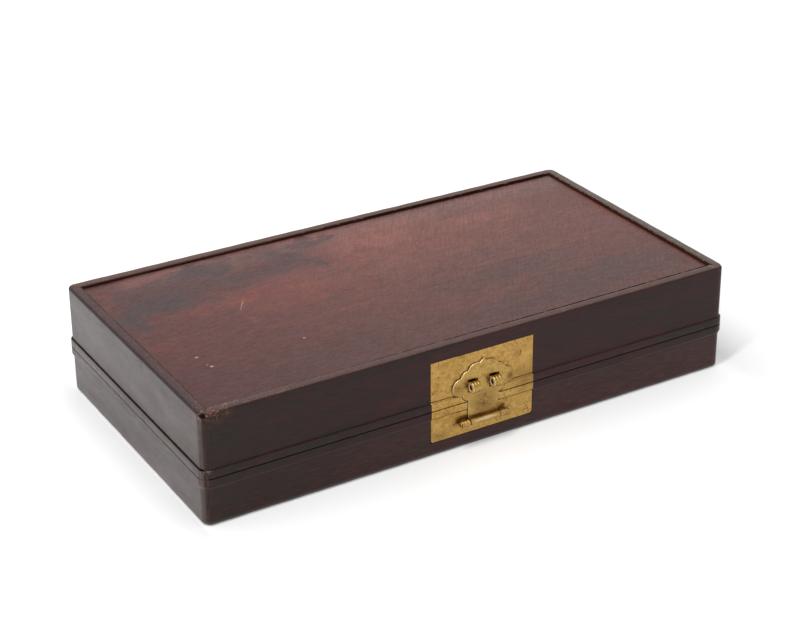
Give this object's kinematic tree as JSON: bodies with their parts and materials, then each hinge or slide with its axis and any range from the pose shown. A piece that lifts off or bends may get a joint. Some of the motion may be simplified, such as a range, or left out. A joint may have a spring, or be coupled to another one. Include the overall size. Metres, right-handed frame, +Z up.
{
  "type": "document box",
  "caption": "Low rectangular hardwood document box with a framed top panel, hinged lid, raised bands at the parting line and a scalloped brass hasp.",
  "frame": {"origin": "centre of the underside, on the surface that the box stands on", "axes": "+X along the length to the right seen from the front, the lock faces -Y, +Z up"},
  "size_m": [0.3824, 0.2113, 0.074],
  "materials": {
    "hardwood": "dark hardwood, hand-rubbed, satin",
    "panel_wood": "reddish-brown hardwood, long straight grain with darker streaks, satin",
    "brass": "old sheet brass with patina, satin"
  },
  "bodies": {
    "base": {"base_front_board": "hardwood", "base_back_board": "hardwood", "base_left_board": "hardwood", "base_right_board": "hardwood", "base_bottom_panel": "hardwood", "base_liner_front": "hardwood", "base_liner_back": "hardwood", "base_liner_left": "hardwood", "base_liner_right": "hardwood", "lock_plate_lower": "brass", "lower_plate_pin_1": "brass", "lower_plate_pin_2": "brass", "lower_plate_pin_3": "brass", "lower_plate_pin_4": "brass", "hasp_pin": "brass", "hasp_eye_left": "brass", "hasp_eye_right": "brass", "hinge_left_base_leaf": "brass", "hinge_left_base_nail_1": "brass", "hinge_left_base_nail_2": "brass", "hinge_left_pin": "brass", "hinge_right_base_leaf": "brass", "hinge_right_base_nail_1": "brass", "hinge_right_base_nail_2": "brass", "hinge_right_pin": "brass"},
    "lid": {"lid_front_board": "hardwood", "lid_back_board": "hardwood", "lid_left_board": "hardwood", "lid_right_board": "hardwood", "lid_top_panel": "panel_wood", "lid_batten_left": "hardwood", "lid_batten_right": "hardwood", "lock_plate_upper": "brass", "upper_plate_pin_1": "brass", "upper_plate_pin_2": "brass", "upper_plate_pin_3": "brass", "upper_plate_pin_4": "brass", "staple_left": "brass", "staple_right": "brass", "hinge_left_lid_leaf": "brass", "hinge_left_lid_nail_1": "brass", "hinge_left_lid_nail_2": "brass", "hinge_right_lid_leaf": "brass", "hinge_right_lid_nail_1": "brass", "hinge_right_lid_nail_2": "brass"},
    "hasp": {"hasp": "brass"}
  },
  "joints": [
    {"name": "lid_hinge", "type": "hinge", "parent": "base", "child": "lid", "pos_m": [0, 0.1016, 0.0318], "axis": [-1, 0, 0], "range_deg": [0, 105]},
    {"name": "hasp_swing", "type": "hinge", "parent": "base", "child": "hasp", "pos_m": [0, -0.1027, 0.0178], "axis": [1, 0, 0], "range_deg": [0, 110]}
  ]
}
